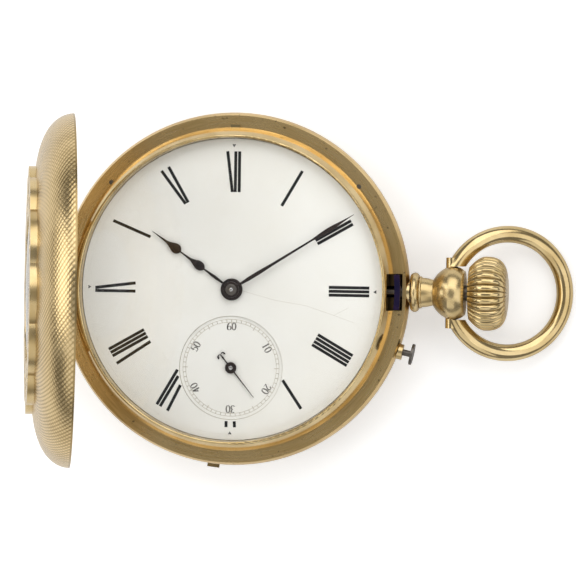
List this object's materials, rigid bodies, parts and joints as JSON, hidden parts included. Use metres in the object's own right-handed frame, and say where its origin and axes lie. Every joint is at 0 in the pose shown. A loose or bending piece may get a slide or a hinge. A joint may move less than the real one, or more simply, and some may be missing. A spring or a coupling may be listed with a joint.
{
  "type": "pocket watch",
  "caption": "Open half hunter pocket watch in yellow metal: enamel dial under glass, windowed front lid, crown at three, bow, pin-set pusher and a complete wound movement inside",
  "frame": {"origin": "centre of the flat of the back cover, on the table the watch lies on", "axes": "+X to the crown at 3 o'clock, +Y to 12 o'clock, +Z out of the dial"},
  "size_m": [0.0765, 0.0505, 0.0557],
  "materials": {
    "yellow_gold": "polished",
    "engraved_gold": "satin engine turned",
    "dull_gold": "satin",
    "white_enamel": "fired enamel, glossy",
    "clear_glass": "clear",
    "blued_steel": "heat blued",
    "dark_blued_steel": "heat blued, dark",
    "steel": "polished",
    "dark_steel": "aged",
    "nickel_plate": "frosted",
    "gilt_brass": "gilt",
    "ruby": "polished stone"
  },
  "bodies": {
    "case": {"case_middle": "dull_gold", "pusher_collar": "dull_gold", "bezel": "yellow_gold", "crystal": "clear_glass", "pendant": "yellow_gold", "lid_hinge_pin": "yellow_gold", "back_hinge_pin": "yellow_gold", "case_spring_screws": "dark_steel", "main_plate": "nickel_plate", "barrel_bridge": "nickel_plate", "train_bridge": "nickel_plate", "balance_cock": "nickel_plate", "pallet_cock": "nickel_plate", "jewels": "ruby", "movement_screws": "blued_steel", "case_screws": "blued_steel", "dial": "white_enamel", "seconds_dial": "white_enamel", "click_spring": "steel", "setting_lever_spring": "steel", "hairspring": "blued_steel"},
    "lid": {"lid_shell": "engraved_gold", "lid_ring": "yellow_gold", "numeral_cells": "white_enamel", "window_glass": "clear_glass"},
    "back": {"back_cover": "yellow_gold"},
    "dust_cover": {"cuvette": "yellow_gold"},
    "bow_ring": {"bow": "yellow_gold"},
    "push": {"push_sleeve": "steel"},
    "crown_stem": {"crown": "yellow_gold", "winding_stem": "steel"},
    "winding_gear": {"winding_pinion": "steel"},
    "clutch": {"clutch_wheel": "steel"},
    "transmission": {"transmission_wheel": "steel"},
    "ratchet": {"ratchet_wheel": "steel", "barrel_arbor": "steel"},
    "click_lever": {"click": "steel"},
    "pusher": {"set_pusher": "dark_steel"},
    "setting": {"setting_lever": "steel"},
    "catch": {"lock_spring": "blued_steel"},
    "lid_lifter": {"fly_spring": "blued_steel"},
    "barrel_drum": {"barrel": "gilt_brass", "barrel_cover": "gilt_brass", "mainspring": "steel"},
    "centre": {"centre_wheel": "gilt_brass", "cannon_pinion": "steel", "minute_hand": "dark_blued_steel"},
    "third": {"third_wheel": "gilt_brass"},
    "fourth": {"fourth_wheel": "gilt_brass", "seconds_hand": "dark_blued_steel"},
    "escape": {"escape_wheel": "steel"},
    "pallet": {"pallet_fork": "steel", "pallet_stones": "ruby"},
    "balance": {"balance_wheel": "gilt_brass", "impulse_roller": "steel"},
    "regulator_lever": {"regulator": "steel"},
    "minute_gear": {"minute_wheel": "gilt_brass"},
    "hour": {"hour_wheel": "gilt_brass", "hour_hand": "dark_blued_steel"},
    "setting_gear": {"setting_wheel": "steel"}
  },
  "joints": [
    {"name": "lid_hinge", "type": "hinge", "parent": "case", "child": "lid", "pos_m": [-0.0235, 0, 0.0082], "axis": [0, -1, 0], "range_deg": [-80, 0], "stiffness_Nm_per_rad": 0.004, "springref_deg": 34.38},
    {"name": "back_hinge", "type": "hinge", "parent": "case", "child": "back", "pos_m": [-0.0235, 0, 0.0054], "axis": [0, 1, 0], "range_deg": [0, 100]},
    {"name": "dust_cover_hinge", "type": "hinge", "parent": "case", "child": "dust_cover", "pos_m": [-0.0235, 0, 0.0054], "axis": [0, 1, 0], "range_deg": [0, 85]},
    {"name": "bow_hinge", "type": "hinge", "parent": "case", "child": "bow_ring", "pos_m": [0.0308, 0, 0.0068], "axis": [0, -1, 0], "range_deg": [0, 110]},
    {"name": "crown_push", "type": "slide", "parent": "case", "child": "push", "axis": [-1, 0, 0], "range_m": [0, 0.0004], "stiffness_N_per_m": 400, "springref_m": -0.001},
    {"name": "crown_turn", "type": "hinge", "parent": "push", "child": "crown_stem", "pos_m": [0.0334, 0, 0.0068], "axis": [1, 0, 0], "continuous": true},
    {"name": "winding_pinion_turn", "type": "hinge", "parent": "case", "child": "winding_gear", "pos_m": [0.0171, 0, 0.0068], "axis": [1, 0, 0], "continuous": true},
    {"name": "clutch_slide", "type": "slide", "parent": "winding_gear", "child": "clutch", "axis": [-1, 0, 0], "range_m": [0, 0.0005]},
    {"name": "transmission_turn", "type": "hinge", "parent": "case", "child": "transmission", "pos_m": [0.0148, 0, 0.003], "axis": [0, 0, 1], "continuous": true},
    {"name": "ratchet_turn", "type": "hinge", "parent": "case", "child": "ratchet", "pos_m": [0.00437, 0.00757, 0.003], "axis": [0, 0, 1], "continuous": true},
    {"name": "click_pivot", "type": "hinge", "parent": "case", "child": "click_lever", "pos_m": [-0.00334, 0.01202, 0.0027], "axis": [0, 0, -1], "range_deg": [0, 8], "stiffness_Nm_per_rad": 0.0002, "springref_deg": -11.46},
    {"name": "pusher_slide", "type": "slide", "parent": "case", "child": "pusher", "axis": [-0.9781, 0.2079, 0], "range_m": [0, 0.0009], "stiffness_N_per_m": 300, "springref_m": -0.0005},
    {"name": "setting_lever_pivot", "type": "hinge", "parent": "case", "child": "setting", "pos_m": [0.019, 0.0045, 0.0081], "axis": [0, 0, -1], "range_deg": [0, 4.6]},
    {"name": "catch_pivot", "type": "hinge", "parent": "case", "child": "catch", "pos_m": [0.01762, 0.01478, 0.0068], "axis": [0, 0, -1], "range_deg": [0, 1.6]},
    {"name": "lid_lifter_flex", "type": "hinge", "parent": "case", "child": "lid_lifter", "pos_m": [-0.01762, 0.01478, 0.00705], "axis": [0.9461, -0.324, 0], "range_deg": [0, 2]},
    {"name": "barrel_turn", "type": "hinge", "parent": "case", "child": "barrel_drum", "pos_m": [0.00437, 0.00757, 0.004], "axis": [0, 0, 1], "continuous": true},
    {"name": "centre_turn", "type": "hinge", "parent": "case", "child": "centre", "pos_m": [0, 0, 0.004], "axis": [0, 0, 1], "continuous": true},
    {"name": "third_turn", "type": "hinge", "parent": "case", "child": "third", "pos_m": [0.00366, -0.0062, 0.004], "axis": [0, 0, 1], "continuous": true},
    {"name": "fourth_turn", "type": "hinge", "parent": "case", "child": "fourth", "pos_m": [0, -0.0111, 0.004], "axis": [0, 0, 1], "continuous": true},
    {"name": "escape_turn", "type": "hinge", "parent": "case", "child": "escape", "pos_m": [-0.0052, -0.01018, 0.004], "axis": [0, 0, 1], "continuous": true},
    {"name": "pallet_swing", "type": "hinge", "parent": "case", "child": "pallet", "pos_m": [-0.00866, -0.00819, 0.0055], "axis": [0, 0, 1], "range_deg": [-4.5, 4.5]},
    {"name": "balance_swing", "type": "hinge", "parent": "case", "child": "balance", "pos_m": [-0.01212, -0.00619, 0.004], "axis": [0, 0, 1], "range_deg": [-135, 135], "stiffness_Nm_per_rad": 0.0000005},
    {"name": "regulator_turn", "type": "hinge", "parent": "case", "child": "regulator_lever", "pos_m": [-0.01212, -0.00619, 0.0023], "axis": [0, 0, 1], "range_deg": [-12, 12]},
    {"name": "minute_wheel_turn", "type": "hinge", "parent": "case", "child": "minute_gear", "pos_m": [0.0042, 0, 0.008], "axis": [0, 0, 1], "continuous": true},
    {"name": "hour_turn", "type": "hinge", "parent": "case", "child": "hour", "pos_m": [0, 0, 0.0084], "axis": [0, 0, 1], "continuous": true},
    {"name": "setting_wheel_turn", "type": "hinge", "parent": "case", "child": "setting_gear", "pos_m": [0.01059, 0, 0.008], "axis": [0, 0, 1], "continuous": true}
  ],
  "couplings": [
    {"joint": "dust_cover_hinge", "follows": "back_hinge", "ratio": 0.85},
    {"joint": "winding_pinion_turn", "follows": "crown_turn", "ratio": 1},
    {"joint": "transmission_turn", "follows": "crown_turn", "ratio": 0.75},
    {"joint": "ratchet_turn", "follows": "crown_turn", "ratio": -0.6},
    {"joint": "clutch_slide", "follows": "pusher_slide", "ratio": 0.49222},
    {"joint": "setting_lever_pivot", "follows": "pusher_slide", "rad_per_m": 85.667},
    {"joint": "catch_pivot", "follows": "crown_push", "rad_per_m": 67.7},
    {"joint": "lid_lifter_flex", "follows": "lid_hinge", "ratio": -0.02},
    {"joint": "third_turn", "follows": "fourth_turn", "ratio": -0.13333},
    {"joint": "centre_turn", "follows": "fourth_turn", "ratio": 0.016667},
    {"joint": "barrel_turn", "follows": "fourth_turn", "ratio": -0.0025},
    {"joint": "escape_turn", "follows": "fourth_turn", "ratio": -10},
    {"joint": "minute_wheel_turn", "follows": "fourth_turn", "ratio": -0.0055556},
    {"joint": "hour_turn", "follows": "fourth_turn", "ratio": 0.0013889},
    {"joint": "setting_wheel_turn", "follows": "fourth_turn", "ratio": 0.0054054},
    {"joint": "pallet_swing", "follows": "balance_swing", "ratio": -0.02963}
  ]
}
